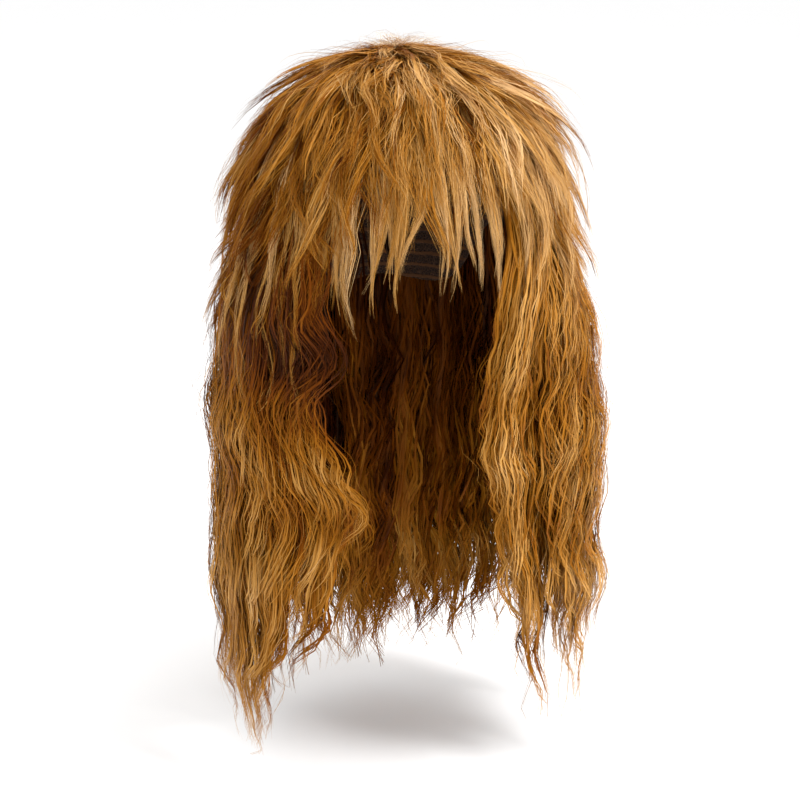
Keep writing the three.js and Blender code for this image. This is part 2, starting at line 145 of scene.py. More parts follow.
def oval_at(surface, below):
    """Left, right, front and back reach of a surface at distances below the dome's edge."""
    down = below / (LONG_HAIR_DEPTH - HEAD_DOME)
    joined = smooth(down, 0, SECTIONS["down"][0])
    sizes = []
    for dome, fall, column in zip(surface["dome"], surface["fall"], surface["columns"]):
        share = read_table(SECTIONS, "down", down, column)
        sizes.append(dome + (fall * share - dome) * joined)
    return sizes


def reach_of(oval, turn):
    """Distance from the whorl's axis to an oval, towards each turn."""
    left, right, front, back = oval
    x = np.sin(np.radians(turn))
    y = -np.cos(np.radians(turn))
    wide = np.where(x < 0, left, right)

    def crossing(deep):
        a = (x / wide) ** 2 + (y / deep) ** 2
        b = WHORL_BACK * y / deep ** 2
        c = (WHORL_BACK / deep) ** 2 - 1
        return (np.sqrt(b * b - a * c) - b) / a

    behind = crossing(back)
    return np.where(WHORL_BACK + behind * y >= 0, behind, crossing(front))


def dome_run(turn):
    """Length along the cap from the whorl to the dome's edge."""
    reach = reach_of(INSIDE["dome"], turn)
    return math.pi / 2 * np.sqrt((reach ** 2 + INSIDE["height"] ** 2) / 2)


def run_to_depth(turn, depth):
    return dome_run(turn) + depth - HEAD_DOME


def depth_in_mm(turn, run):
    """Depth below the crown, for places below the dome's edge."""
    return (run - dome_run(turn) + HEAD_DOME) / MM


def signed_turn(turn):
    """Turn from the front, negative towards the left."""
    return (turn + 180) % 360 - 180


def surface_point(surface, turn, run):
    edge = dome_run(turn)
    below = np.maximum(0, run - edge)
    oval = oval_at(surface, below)
    left, right, front, back = oval
    reach = reach_of(oval, turn) * np.sin(math.pi / 2 * np.clip(run / edge, -1, 1))
    x = reach * np.sin(np.radians(turn))
    y = WHORL_BACK - reach * np.cos(np.radians(turn))
    wide = np.where(x < 0, left, right)
    deep = np.where(y < 0, front, back)
    off_centre = np.clip((x / wide) ** 2 + (y / deep) ** 2, 0, 1)
    fullness = surface["fullness"][0] + surface["fullness"][1] * x / wide
    open_ = np.where(below > 0, 0, 1 - off_centre ** fullness)
    return np.stack([x, y, surface["height"] * np.sqrt(open_) - HEAD_DOME - below], -1)


def unit(vectors):
    return vectors / np.maximum(np.linalg.norm(vectors, axis=-1, keepdims=True), 1e-9)


def noise_lines(rng, count, along, waves):
    """Smooth random lines, each a sum of sines: a row for each strand, a column for each step."""
    total = np.zeros((count, along.shape[-1]))
    for length in waves:
        phase = rng.uniform(0, 2 * math.pi, (count, 1))
        stretch = rng.uniform(0.8, 1.25, (count, 1))
        total += np.sin(2 * math.pi * along / (length * stretch) + phase)
    return total / math.sqrt(len(waves))


# Waves that run through the whole mass of hair, in and out and sideways: length in mm, depth below the
# crown of one crest, drift of that crest for each degree round the head, and strength. The wave level is
# what their sum is divided by.
BULGE_WAVES = ((112, 262, 0.2, 1.0), (69, 240, -0.9, 0.5))
SWAY_WAVES = ((104, 300, 0.5, 1.0), (67, 210, -1.2, 0.5))
WAVE_LEVEL = 1.3


def wave_field(waves, turn, run):
    depth = depth_in_mm(turn, run)
    total = np.zeros(depth.shape)
    for length, crest, drift, strength in waves:
        past_crest = depth - crest - drift * signed_turn(turn)
        total += strength * np.cos(2 * math.pi * past_crest / length)
    return total / WAVE_LEVEL


def bump(value, middle, width):
    return np.exp(-((value - middle) / width) ** 2)


# Painted shade and painted light over the hair, as changes of tone: turn from the front, depth in mm below
# the crown, how far each spreads, and the change of tone. The left temple is deepest in painted shade, with
# more over the left side;
# the right of the crown is palest in painted light, with more at the top and lower right; the front of the
# crown is a little darker.
EVERYWHERE = 1e6
PAINTED_SHADE_AND_LIGHT = {
    "turn": (-44, -75, -5, -80, 55, 60, 0, 75),
    "turn_spread": (19, 45, 35, 50, 50, 55, EVERYWHERE, 45),
    "depth": (170, 135, 50, 0, 80, 10, 2, 320),
    "depth_spread": (65, 110, 35, EVERYWHERE, 95, 60, 22, 90),
    "tone": (-0.3, -0.06, -0.05, -0.03, 0.2, 0.07, 0.05, 0.03),
}

# Paler ends of the long hair: change of tone, more of it towards the right as painted light, and the depths
# it sets in over.
END_TONE = 0.05
END_PAINTED_LIGHT_RIGHT = 0.03
END_DEPTHS = (300, 420)


def painted_light_and_tone_field(turn, run):
    """Tone that changes slowly over the hair: painted shade, painted light and the paler ends of the long
    hair.
    """
    depth = depth_in_mm(turn, run)
    signed = signed_turn(turn)
    total = (END_TONE + END_PAINTED_LIGHT_RIGHT * np.sin(np.radians(turn))) * smooth(depth, *END_DEPTHS)
    for turn_at, turn_spread, depth_at, depth_spread, tone in zip(*PAINTED_SHADE_AND_LIGHT.values()):
        total = total + tone * bump(signed, turn_at, turn_spread) * bump(depth, depth_at, depth_spread)
    return total


def disc(rng, count):
    """Even scatter over a disc of radius 1."""
    radius = np.sqrt(rng.random(count))
    angle = rng.uniform(0, 2 * math.pi, count)
    return radius * np.cos(angle), radius * np.sin(angle)


# Turns behind the face opening over which the stray of the long hair's inner edges dies away.
EDGE_FADE = (2, 34)


def edge_stray(turn, run):
    depth = depth_in_mm(turn, run)
    signed = signed_turn(turn)
    left = read_table(EDGE_STRAY, "depth", depth, "left")
    right = read_table(EDGE_STRAY, "depth", depth, "right")
    near = 1 - smooth(np.abs(signed) - FACE_TURN, *EDGE_FADE)
    return np.where(signed < 0, left, -right) * near


# Turn at which the fringe parts over the forehead, width of the gap in turns, and depths it opens over.
PARTING_TURN = -1.5
PARTING_WIDTH = 5
PARTING_DEPTHS = (72, 104)


def parting(turn, run, tip_turn):
    side = np.sign(signed_turn(tip_turn) - PARTING_TURN)
    push = side * PARTING_WIDTH * bump(signed_turn(turn), PARTING_TURN, PARTING_WIDTH)
    return push * smooth(depth_in_mm(turn, run), *PARTING_DEPTHS)


# Share of its paleness that a strand keeps past the palest tone of its style, and the limits of every tone.
PALE_KEPT = 0.4
TONE_LIMITS = (0.02, 0.98)

# How much finer the curl's crimp is than the lock's own wave, and how much wider a stray strand strays.
CRIMP_WAVES = 2.3
STRAY_FRIZZ = 2.2


def grow(rng, locks, subs, each, steps, style):
    """Strands of a set of locks. Each lock parts into slimmer ones, each with so many strands.

    Groups grown from the same locks share their slimmer locks, so fine and broad strands run together.
    """
    count = len(locks["root_turn"])
    parts = count * subs
    total = parts * each
    owner = np.repeat(np.arange(count), subs * each)
    part = np.repeat(np.arange(parts), each)
    pick = {name: np.asarray(values)[owner][:, None] for name, values in locks.items()}

    shape = np.random.default_rng(count * 1000 + subs)
    sub_a, sub_b = disc(shape, parts)
    sub_short = 1 - style["sub_short"] * shape.random(parts)
    sub_tone = shape.normal(0, style["sub_tone"], parts)
    sub_phase = shape.normal(0, style["sub_phase"], parts)
    sub_curl = shape.normal(0, 1, parts)
    sub_wave = shape.uniform(0.8, 1.3, parts)
    own_a, own_b = disc(rng, total)
    stray = (rng.random(total) < style["stray"])[:, None]

    place = np.linspace(0, 1, steps + 1)[None, :]
    begin = style.get("begin", 0) * rng.random((total, 1))
    reach = sub_short[part][:, None] * (1 - style["short"] * rng.random((total, 1)) ** 1.5)
    if "length" in style:
        span = style["length"] * rng.uniform(0.6, 1.3, (total, 1))
        along = begin * np.maximum(reach - span, 0.05) + span * place
    else:
        along = begin + (reach - begin) * place
    root_run = pick["root_run"] + rng.normal(0, style["root_scatter"], (total, 1))
    run = root_run + (pick["tip_run"] - root_run) * along
    turn = pick["root_turn"] + (pick["tip_turn"] - pick["root_turn"]) * along
    turn = turn + pick["arc"] * np.sin(math.pi * np.clip(along, 0, 1))
    if style["edge"]:
        turn = turn + edge_stray(turn, run)
    else:
        turn = turn + parting(turn, run, pick["tip_turn"])
    share = pick["root_share"] + (pick["tip_share"] - pick["root_share"]) * smooth(along, 0, style["rise"])
    inside = surface_point(INSIDE, turn, run)
    across = surface_point(OUTSIDE, turn, run) - inside
    out = unit(across)
    radians = np.radians(turn)
    sideways = np.stack([np.cos(radians), np.sin(radians), np.zeros_like(turn)], -1)

    near_pole = 0.35 + 0.65 * smooth(np.abs(run), 0, 70 * MM)
    opened = 0.5 + 0.5 * smooth(along, 0, 0.25)
    gather = opened * (1 - style["gather"] * smooth(along, style["gather_from"], 1)) * near_pole
    sub_gather = opened * (1 - 0.95 * smooth(along, style["sub_from"], 1.0)) * near_pole
    loose = np.where(stray, style["stray_wide"], 1.0)
    a_in = sub_a[part][:, None] * gather + own_a[:, None] * style["own"] * sub_gather * loose
    b_in = sub_b[part][:, None] * gather + own_b[:, None] * style["own"] * sub_gather * loose
    a = 0.5 * pick["width"] * a_in
    b = 0.5 * pick["thick"] * b_in

    freed = smooth(along, 0.1, style["free"])
    length = pick["tip_run"] - pick["root_run"]
    phase = pick["phase"] + sub_phase[part][:, None] + rng.normal(0, style["own_phase"], (total, 1))
    own_wave = 2 * math.pi * run / (pick["wave"] * sub_wave[part][:, None]) + phase
    crimp = np.sin(CRIMP_WAVES * own_wave + 2 * sub_curl[part][:, None])
    sway = wave_field(SWAY_WAVES, turn, run)
    a = a + pick["sway"] * freed * (0.45 * sway + 0.7 * np.sin(own_wave) + 0.2 * crimp)
    bulge = wave_field(BULGE_WAVES, turn, run)
    own_bulge = np.sin(own_wave * 1.1 + 1.3)
    b = b + pick["bulge"] * freed * (0.6 * bulge + 0.4 * own_bulge + 0.12 * crimp)
    ending = smooth(along, 0.62, 1.0)
    curl = 0.45 * sub_curl[part][:, None] + 1.3 * np.sin(3 * pick["phase"])
    a = a + pick["curl"] * ending * (0.6 * np.sin(own_wave * 1.6 + curl) + 0.5 * curl)
    waves = style["frizz_waves"]
    frizz = style["frizz"] * smooth(along, 0, 0.3) * np.where(stray, STRAY_FRIZZ, 1.0)
    frizz = frizz * (1 - style["calm_tip"] * smooth(along, 0.3, 1))
    a = a + noise_lines(rng, total, along * length, waves) * frizz
    b = b + noise_lines(rng, total, along * length, waves) * frizz * 0.8
    regather = place * (1 - style["calm_tip"] * smooth(place, 0.55, 1))
    a = a + style["drift"] * rng.normal(0, 1, (total, 1)) * regather
    b = b + pick["lift"] * smooth(along, 0.35, 1.0)
    b = b + np.where(stray, style["stray_lift"], 0) * smooth(along, 0.2, 1) * rng.random((total, 1))
    if "fly" in style:
        b = b + style["fly"] * rng.random((total, 1)) ** 2 * np.sin(math.pi * place * 0.8)
    points = inside + across * share[..., None] + sideways * a[..., None] + out * b[..., None]

    tone = pick["tone"] + sub_tone[part][:, None] + rng.normal(0, style["tone_scatter"], (total, 1))
    tone = tone + style["tip_light"] * (np.clip(along, 0, 1) - 0.5)
    tone = tone + 0.025 * noise_lines(rng, total, along * length, (40 * MM, 85 * MM))
    # Strands deeper in a lock are painted darker and its outer strands paler, a painted shade by depth in the
    # lock.
    tone = tone + style["round"] * (b_in - 0.25 * np.abs(a_in))
    # Crests of the waves are painted paler, a painted highlight where they would catch the light.
    tone = tone + style["crest"] * (0.6 * bulge + 0.8 * own_bulge) * freed
    # Ribbons that fill the gaps are painted darker, a painted shade between the strands; roots are darker
    # too.
    tone = tone - style.get("painted_gap_shade", 0) - style["root_dark"] * (1 - smooth(along, 0.0, 0.35))
    # Painted shade on the left and at the left temple, painted light on the right and top, and paler ends.
    tone = tone + painted_light_and_tone_field(turn, run)
    paler = np.maximum(tone - style["palest"], 0)
    tone = np.clip(tone - paler + paler * PALE_KEPT, *TONE_LIMITS)

    half = 0.5 * style["thickness"] * rng.uniform(0.65, 1.2, (total, 1)) * np.where(stray, 0.75, 1.0)
    taper_from = style.get("taper_from", 0.5)
    half = half * (0.5 + 0.5 * smooth(place, 0, 0.1)) * (1 - 0.85 * smooth(place, taper_from, 1.0))
    face = unit(out * (style["facing"] + b_in)[..., None] + sideways * (1.1 * a_in)[..., None])
    return {
        "points": points,
        "face": face,
        "half": half,
        "tone": tone,
        "along": np.clip(along, 0, 1),
        "roll": rng.normal(0, style["roll"], (total, 1)) + rng.normal(0, 0.3, (total, 1)) * place,
    }


# Half the change of tone from one edge of a ribbon to the other.
ACROSS_TONE = 0.02


def ribbon_arrays(strands):
    """Two vertices for every step of every strand, set across it, and the quads between them."""
    points = strands["points"]
    tangent = unit(np.gradient(points, axis=1))
    side = unit(np.cross(tangent, strands["face"]))
    up = unit(np.cross(side, tangent))
    roll = np.broadcast_to(strands["roll"], strands["along"].shape)[..., None]
    edge = side * np.cos(roll) + up * np.sin(roll)
    half = np.broadcast_to(strands["half"], strands["along"].shape)[..., None]
    count, steps = strands["along"].shape
    vertices = np.stack([points - edge * half, points + edge * half], 2).reshape(-1, 3)
    index = (np.arange(count)[:, None] * steps + np.arange(steps - 1)[None, :]) * 2
    quads = np.stack([index, index + 2, index + 3, index + 1], -1).reshape(-1, 4)
    tone = np.repeat(strands["tone"].reshape(-1), 2)
    along = np.repeat(strands["along"].reshape(-1), 2)
    shift = np.tile([-1.0, 1.0], count * steps) * ACROSS_TONE
    return vertices, quads, tone, along, shift


def hair_object(name, groups, material):
    """One mesh of ribbons from several groups of strands."""
    parts = [ribbon_arrays(group) for group in groups]
    starts = np.cumsum([0] + [len(part[0]) for part in parts])
    vertices = np.concatenate([part[0] for part in parts])
    quads = np.concatenate([part[1] + start for part, start in zip(parts, starts)])
    tone, along, shift = (np.concatenate([part[i] for part in parts]) for i in (2, 3, 4))
    mesh = bpy.data.meshes.new(name)
    mesh.vertices.add(len(vertices))
    mesh.vertices.foreach_set("co", vertices.astype(np.float32).ravel())
    mesh.loops.add(quads.size)
    mesh.loops.foreach_set("vertex_index", quads.astype(np.int32).ravel())
    mesh.polygons.add(len(quads))
    mesh.polygons.foreach_set("loop_start", np.arange(0, quads.size, 4, dtype=np.int32))
    mesh.update(calc_edges=True)
    mesh.polygons.foreach_set("use_smooth", np.ones(len(quads), bool))
    uv = mesh.uv_layers.new(name="OFBake")
    corners = quads.ravel()
    flat = np.stack([np.clip(tone + shift, 0, 1)[corners], along[corners]], -1)
    uv.data.foreach_set("uv", flat.astype(np.float32).ravel())
    mesh.validate()
    piece = bpy.data.objects.new(name, mesh)
    bpy.context.collection.objects.link(piece)
    piece.data.materials.append(material)
    return piece


def linear(value):
    """Linear share of light for one sRGB value of 0 to 255."""
    if value > 10:
        return ((value / 255 + 0.055) / 1.055) ** 2.4
    return value / 255 / 12.92


def srgb(red, green, blue):
    return linear(red), linear(green), linear(blue), 1


# Tones of the fibre from the deepest shade to the palest tip.
TONES = (
    (0.0, srgb(22, 7, 2)),
    (0.15, srgb(62, 22, 2)),
    (0.32, srgb(114, 57, 4)),
    (0.5, srgb(157, 99, 23)),
    (0.66, srgb(192, 141, 72)),
    (0.84, srgb(220, 184, 137)),
    (1.0, srgb(236, 216, 184)),
)


# Streaks of the fibre: how many lie across the range of tones and along a strand, and their change of tone.
STREAKS = (75, 14, 1)
STREAK_TONE = 0.06


def hair_material():
    """Fibre whose colour follows each strand's tone, with fine streaks along its length."""
    material = bpy.data.materials.new("hair_fibre")
    material.use_nodes = True
    nodes = material.node_tree.nodes
    links = material.node_tree.links
    shader = nodes["Principled BSDF"]
    layout = nodes.new("ShaderNodeUVMap")
    layout.uv_map = "OFBake"
    tone = nodes.new("ShaderNodeSeparateXYZ")
    links.new(layout.outputs["UV"], tone.inputs["Vector"])
    stretch = nodes.new("ShaderNodeMapping")
    stretch.inputs["Scale"].default_value = STREAKS
    links.new(layout.outputs["UV"], stretch.inputs["Vector"])
    streak = nodes.new("ShaderNodeTexNoise")
    streak.inputs["Scale"].default_value = 1
    streak.inputs["Detail"].default_value = 1
    links.new(stretch.outputs["Vector"], streak.inputs["Vector"])
    amount = nodes.new("ShaderNodeMapRange")
    amount.inputs["From Min"].default_value = 0.25
    amount.inputs["From Max"].default_value = 0.75
    amount.inputs["To Min"].default_value = -STREAK_TONE
    amount.inputs["To Max"].default_value = STREAK_TONE
    links.new(streak.outputs["Fac"], amount.inputs["Value"])
    mixed = nodes.new("ShaderNodeMath")
    links.new(tone.outputs["X"], mixed.inputs[0])
    links.new(amount.outputs["Result"], mixed.inputs[1])
    ramp = nodes.new("ShaderNodeValToRGB")
    elements = ramp.color_ramp.elements
    while len(elements) < len(TONES):
        elements.new(0.5)
    for element, (position, colour) in zip(elements, TONES):
        element.position = position
        element.color = colour
    links.new(mixed.outputs["Value"], ramp.inputs["Fac"])
    links.new(ramp.outputs["Color"], shader.inputs["Base Color"])
    shader.inputs["Roughness"].default_value = 0.45
    shader.inputs["Specular IOR Level"].default_value = 0.09
    shader.inputs["Specular Tint"].default_value = (1.0, 0.72, 0.42, 1)
    return material


fibre = hair_material()


def spread_turns(rng, low, high, count):
    """Turns spread evenly over a range with some scatter."""
    step = (high - low) / count
    return low + step * (np.arange(count) + 0.5 + rng.uniform(-0.4, 0.4, count))


# How the strands of each kind of hair lie. Shares run from 0 at the root to 1 at the tip.
# short, sub_short: most by which a strand and a slim lock end early
# sub_tone, sub_phase: spread from one slim lock to the next
# own_phase, tone_scatter, root_scatter: spread from one strand to the next
# rise: share by which a lock has come up to its layer; free: share by which it waves in full
# gather, gather_from, sub_from: how much locks draw together, and from where on; own: spread in a slim lock
# stray, stray_wide, stray_lift: share of stray strands, and how far these spread and stand off
# frizz, frizz_waves, drift, calm_tip: fine waviness, sideways drift, and how much both calm towards the tip
# round, crest, root_dark, tip_light, painted_gap_shade, palest: painted shade by depth in the lock, painted
# highlight on wave crests, tone at root and tip, painted shade of gap-filling ribbons, palest tone
# thickness, taper_from: width of a strand, and where it starts to taper
# begin, length, fly: latest start and the length of a floating strand, and how far it bows out
# facing, roll: how far a strand faces out of the hair, and how it twists; edge: follows the inner edges
LONG_STYLE = dict(
    short=0.055, sub_short=0.16, sub_tone=0.045, sub_phase=0.6, root_scatter=5 * MM, rise=0.25, free=0.42,
    gather=0.6, gather_from=0.72, own=0.6, own_phase=0.35, sub_from=0.45,
    stray=0.1, stray_wide=1.8, stray_lift=3 * MM,
    frizz=0.65 * MM, frizz_waves=(30 * MM, 50 * MM), drift=4 * MM, calm_tip=0.85,
    tone_scatter=0.02, tip_light=0.14, round=0.055, crest=0.08, root_dark=0.12, palest=0.64,
    thickness=0.7 * MM, taper_from=0.82, facing=1.4, roll=0.22, edge=True,
)
BODY_STYLE = dict(
    LONG_STYLE, thickness=1.3 * MM, stray=0, frizz=0.5 * MM, own_phase=0.25, painted_gap_shade=0.02, roll=0.12,
    short=0.1, drift=2 * MM,
)
INNER_STYLE = dict(LONG_STYLE, thickness=1.2 * MM, short=0.12)
CORE_STYLE = dict(
    LONG_STYLE, thickness=1.9 * MM, frizz_waves=(60 * MM, 90 * MM), stray=0, own=0.9, tip_light=0.05,
)
FLOAT_STYLE = dict(
    LONG_STYLE, begin=0.98, length=0.22, fly=7 * MM, calm_tip=0, frizz=1.4 * MM,
    frizz_waves=(34 * MM, 54 * MM), stray=0.12, thickness=0.36 * MM, roll=0.5, drift=8 * MM, own=1.1,
    sub_from=0.5, root_dark=0, taper_from=0.3, tone_scatter=0.06, palest=0.72,
)
LOOSE_STYLE = dict(
    LONG_STYLE, own=1.0, gather=0.3, gather_from=0.3, frizz=1.5 * MM, stray=0, thickness=0.45 * MM,
    rise=0.4,
)
UNDER_STYLE = dict(
    LONG_STYLE, thickness=1.8 * MM, frizz=1.2 * MM, frizz_waves=(50 * MM, 80 * MM), roll=0.4, stray=0.05,
    tip_light=0.3,
)
SHORT_STYLE = dict(
    short=0.3, sub_short=0.25, sub_tone=0.07, sub_phase=0.9, root_scatter=6 * MM, rise=0.8, free=0.5,
    gather=0.7, gather_from=0.35, own=0.6, own_phase=0.25, sub_from=0.2,
    stray=0.16, stray_wide=2.4, stray_lift=6 * MM,
    frizz=1.1 * MM, frizz_waves=(26 * MM, 44 * MM), drift=2.5 * MM, calm_tip=0.4,
    tone_scatter=0.035, tip_light=0.18, round=0.13, crest=0.0, root_dark=0.17, palest=0.68,
    thickness=0.5 * MM, facing=0.7, roll=0.4, edge=False,
)
SHORT_CORE_STYLE = dict(
    SHORT_STYLE, thickness=1.6 * MM, own=0.55, stray=0, frizz=0.6 * MM, short=0.35, painted_gap_shade=0.05, roll=0.2,
)
FUZZ_STYLE = dict(
    SHORT_STYLE, begin=1.0, length=0.36, fly=9 * MM, thickness=0.28 * MM, stray=0.5, stray_wide=1.6,
    stray_lift=8 * MM, frizz=1.5 * MM, frizz_waves=(20 * MM, 32 * MM), own=1.4, gather=0.3,
    taper_from=0.2, roll=0.6, root_dark=0.0, tip_light=0.1, drift=6 * MM,
)
WHORL_STYLE = dict(FUZZ_STYLE, begin=0.3, length=0.7, palest=1)
FRINGE_STYLE = dict(
    SHORT_STYLE, gather=0.95, gather_from=0.08, frizz=0.7 * MM, short=0.4, sub_short=0.18, stray=0.12,
    stray_lift=2 * MM, sub_from=0.1, thickness=0.4 * MM, round=0.12, root_dark=0.08, drift=0.2 * MM,
    calm_tip=0.85,
)
TEMPLE_STYLE = dict(
    SHORT_STYLE, gather=0.75, gather_from=0.2, frizz=0.9 * MM, short=0.35, sub_short=0.2, stray=0.15,
    stray_lift=3 * MM, sub_from=0.2, thickness=0.45 * MM, tip_light=0.05, drift=0.4 * MM, calm_tip=0.7,
)
STRAY_STYLE = dict(
    SHORT_STYLE, short=0.1, sub_short=0, own=1.0, frizz=1.6 * MM, frizz_waves=(30 * MM, 48 * MM), stray=0,
    gather=0.5, thickness=0.4 * MM, taper_from=0.3, rise=0.5,
)


def long_locks(rng, low, high, count, shares, tips, depth, base_tone, uneven=0.1):
    """Locks that hang to a depth, at shares of the way from the inner surface to the outer."""
    share_low, share_high = shares
    turn = spread_turns(rng, low, high, count)
    reach = read_table(tips, "turn", turn, "reach") * (1.075 - uneven * rng.random(count) ** 1.3)
    share = rng.uniform(share_low, share_high, count)
    return {
        "root_turn": turn,
        "tip_turn": turn + rng.normal(0, 4, count),
        "arc": rng.normal(0, 2.5, count),
        "root_run": dome_run(turn) * rng.uniform(0.66, 0.88, count),
        "tip_run": run_to_depth(turn, np.minimum(depth * reach, LONGEST)),
        "root_share": 0.25 * share,
        "tip_share": share,
        "width": rng.uniform(24, 36, count) * MM,
        "thick": rng.uniform(11, 16, count) * MM,
        "wave": rng.uniform(58, 90, count) * MM,
        "phase": rng.uniform(0, 2 * math.pi, count),
        "sway": rng.uniform(5, 10, count) * MM,
        "bulge": rng.uniform(4.5, 7.5, count) * MM,
        "curl": rng.uniform(6, 15, count) * MM,
        "lift": rng.normal(0, 3, count) * MM,
        "tone": base_tone + rng.normal(0, 0.045, count),
    }


def short_lifts(rng, count):
    """Lift of the tips: half of them stand well off, and the rest lie close."""
    standing = rng.random(count) < 0.5
    return np.where(standing, rng.uniform(4, 11, count), np.abs(rng.normal(0, 2.5, count))) * MM


def short_locks(rng, low, high, count, roots, lengths, tip_share, base_tone):
    """Locks with their roots and lengths in mm along the cap, spread over it so that none line up."""
    root_low, root_high = roots
    length_low, length_high = lengths
    order = np.arange(count)
    turn = low + (high - low) * ((order * 0.618034 + rng.uniform(-0.045, 0.045, count)) % 1)
    root = (root_low + (root_high - root_low) * (order + rng.random(count)) / count) * MM
    length = rng.uniform(length_low, length_high, count) * MM
    return {
        "root_turn": turn,
        "tip_turn": turn + rng.normal(0, 9.5, count),
        "arc": rng.normal(0, 4.5, count),
        "root_run": root,
        "tip_run": root + length,
        "root_share": rng.uniform(0.35, 0.7, count) + np.clip(1 - root / (70 * MM), 0, 1) * 0.3,
        "tip_share": tip_share * rng.uniform(0.84, 1.0, count),
        "width": rng.uniform(8, 20, count) * MM,
        "thick": rng.uniform(4.5, 8.5, count) * MM,
        "wave": rng.uniform(48, 95, count) * MM,
        "phase": rng.uniform(0, 2 * math.pi, count),
        "sway": rng.uniform(1.5, 4.5, count) * MM,
        "bulge": rng.uniform(0.6, 2.2, count) * MM,
        "curl": rng.uniform(1, 6, count) * MM,
        "lift": short_lifts(rng, count),
        "tone": base_tone + rng.normal(0, 0.06, count),
    }


def finish_piece(piece, node):
    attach(piece, "root")
    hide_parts(node)


# How unevenly the outer locks of each side end, and the share of their length from which each draws
# together.
UNEVEN_TIPS = {"right": 0.2, "back": 0.15, "left": 0.1}
GATHER_FROM = {"right": 0.6, "back": 0.7, "left": 0.74}

# Slimmer locks that each outer lock parts into, the same ones for all its widths of strand.
OUTER_PARTS = 7

# Turns by which the stiff inner locks keep off the edges of the face opening, and by which the under hair
# reaches in front of its own edge.
CORE_SETBACK = 7
UNDER_AHEAD = 6

# Locks of loose strands on each side, and their width, thickness and sway.
LOOSE_COUNT = 4
LOOSE_WIDTH = 5 * MM
LOOSE_THICK = 4 * MM
LOOSE_SWAY = 8 * MM


def loose_locks(rng, low, high):
    depth = LONG_HAIR_DEPTH * 0.85
    locks = long_locks(rng, low, high, LOOSE_COUNT, (0.92, 0.98), LONG_TIPS, depth, 0.56, 0.5)
    locks["width"] = np.full(LOOSE_COUNT, LOOSE_WIDTH)
    locks["thick"] = np.full(LOOSE_COUNT, LOOSE_THICK)
    locks["wave"] = rng.uniform(46, 62, LOOSE_COUNT) * MM
    locks["sway"] = np.full(LOOSE_COUNT, LOOSE_SWAY)
    return locks


def build_long_hair():
    ranges = {
        "right": (FACE_TURN, BACK_TURN),
        "back": (BACK_TURN, 360 - BACK_TURN),
        "left": (360 - BACK_TURN, 360 - FACE_TURN),
    }
    for number, (side, (low, high)) in enumerate(ranges.items()):
        rng = np.random.default_rng(100 + number)
        width = high - low
        outer = long_locks(rng, low, high, round(width * 0.2), (0.8, 0.95), LONG_TIPS, LONG_HAIR_DEPTH,
                           0.52, UNEVEN_TIPS[side])
        # The inner locks get a slightly lower tone and the core locks, deep in the mass, a lower one still, a
        # painted shade.
        inner = long_locks(rng, low, high, round(width * 0.12), (0.55, 0.8), LONG_TIPS, LONG_HAIR_DEPTH,
                           0.49)
        core_low = low + CORE_SETBACK if side == "right" else low
        core_high = high - CORE_SETBACK if side == "left" else high
        core = long_locks(rng, core_low, core_high, round(width * 0.15), (0.45, 0.75), LONG_TIPS,
                          LONG_HAIR_DEPTH * 0.95, 0.4)
        loose = loose_locks(rng, low, high)
        back = side == "back"
        long_style = dict(LONG_STYLE, gather_from=GATHER_FROM[side])
        body_style = dict(BODY_STYLE, gather_from=GATHER_FROM[side])
        groups = [
            grow(rng, outer, OUTER_PARTS, 5 if back else 7, 44 if back else 46, long_style),
            grow(rng, outer, OUTER_PARTS, 3, 30 if back else 34, body_style),
            grow(rng, inner, 4, 5, 34, INNER_STYLE),
            grow(rng, core, 4, 7 if back else 8, 22, CORE_STYLE),
            grow(rng, outer, OUTER_PARTS, 7 if back else 9, 12, FLOAT_STYLE),
            grow(rng, loose, 1, 5, 40, LOOSE_STYLE),
        ]
        piece = hair_object("long_hair_" + side + "_strands", groups, fibre)
        finish_piece(piece, "long_hair_" + side)

        rng = np.random.default_rng(200 + number)
        under_low = max(low, UNDER_TURN - UNDER_AHEAD)
        under_high = min(high, 360 - UNDER_TURN + UNDER_AHEAD)
        count = round((under_high - under_low) * 0.16)
        # The under hair gets a low tone of 0.29, a painted shade of the hollow inside the hair.
        under = long_locks(rng, under_low, under_high, count, (0.1, 0.42), UNDER_TIPS,
                           UNDER_HAIR_DEPTH * 1.07, 0.29, 0.18)
        strands = grow(rng, under, 5, 10, 18, UNDER_STYLE)
        piece = hair_object("under_hair_" + side + "_strands", [strands], fibre)
        finish_piece(piece, "under_hair_" + side)


# Stray wisps that stand off the crown: turn and place along the cap of root and tip, in mm,
# and lift.
STRAY_WISPS = {
    "root_turn": (52, 60, 66, 84, -80, -100, 20, 150, 200),
    "tip_turn": (74, 82, 88, 92, -84, -96, 40, 148, 206),
    "root": (28, 46, 66, 110, 70, 60, 4, 50, 60),
    "tip": (98, 118, 182, 170, 150, 135, 40, 120, 140),
    "lift": (20, 15, 12, 12, 10, 10, 5, 12, 11),
}


def stray_locks(rng):
    count = len(STRAY_WISPS["root_turn"])
    columns = {name: np.array(values, float) for name, values in STRAY_WISPS.items()}
    return {
        "root_turn": columns["root_turn"],
        "tip_turn": columns["tip_turn"],
        "arc": rng.normal(0, 4, count),
        "root_run": columns["root"] * MM,
        "tip_run": columns["tip"] * MM,
        "root_share": np.full(count, 0.7),
        "tip_share": np.full(count, 1.0),
        "width": np.full(count, 5 * MM),
        "thick": np.full(count, 4 * MM),
        "wave": rng.uniform(40, 60, count) * MM,
        "phase": rng.uniform(0, 2 * math.pi, count),
        "sway": np.full(count, 3 * MM),
        "bulge": np.full(count, 3 * MM),
        "curl": np.full(count, 4 * MM),
        "lift": columns["lift"] * MM,
        "tone": np.full(count, 0.5),
    }


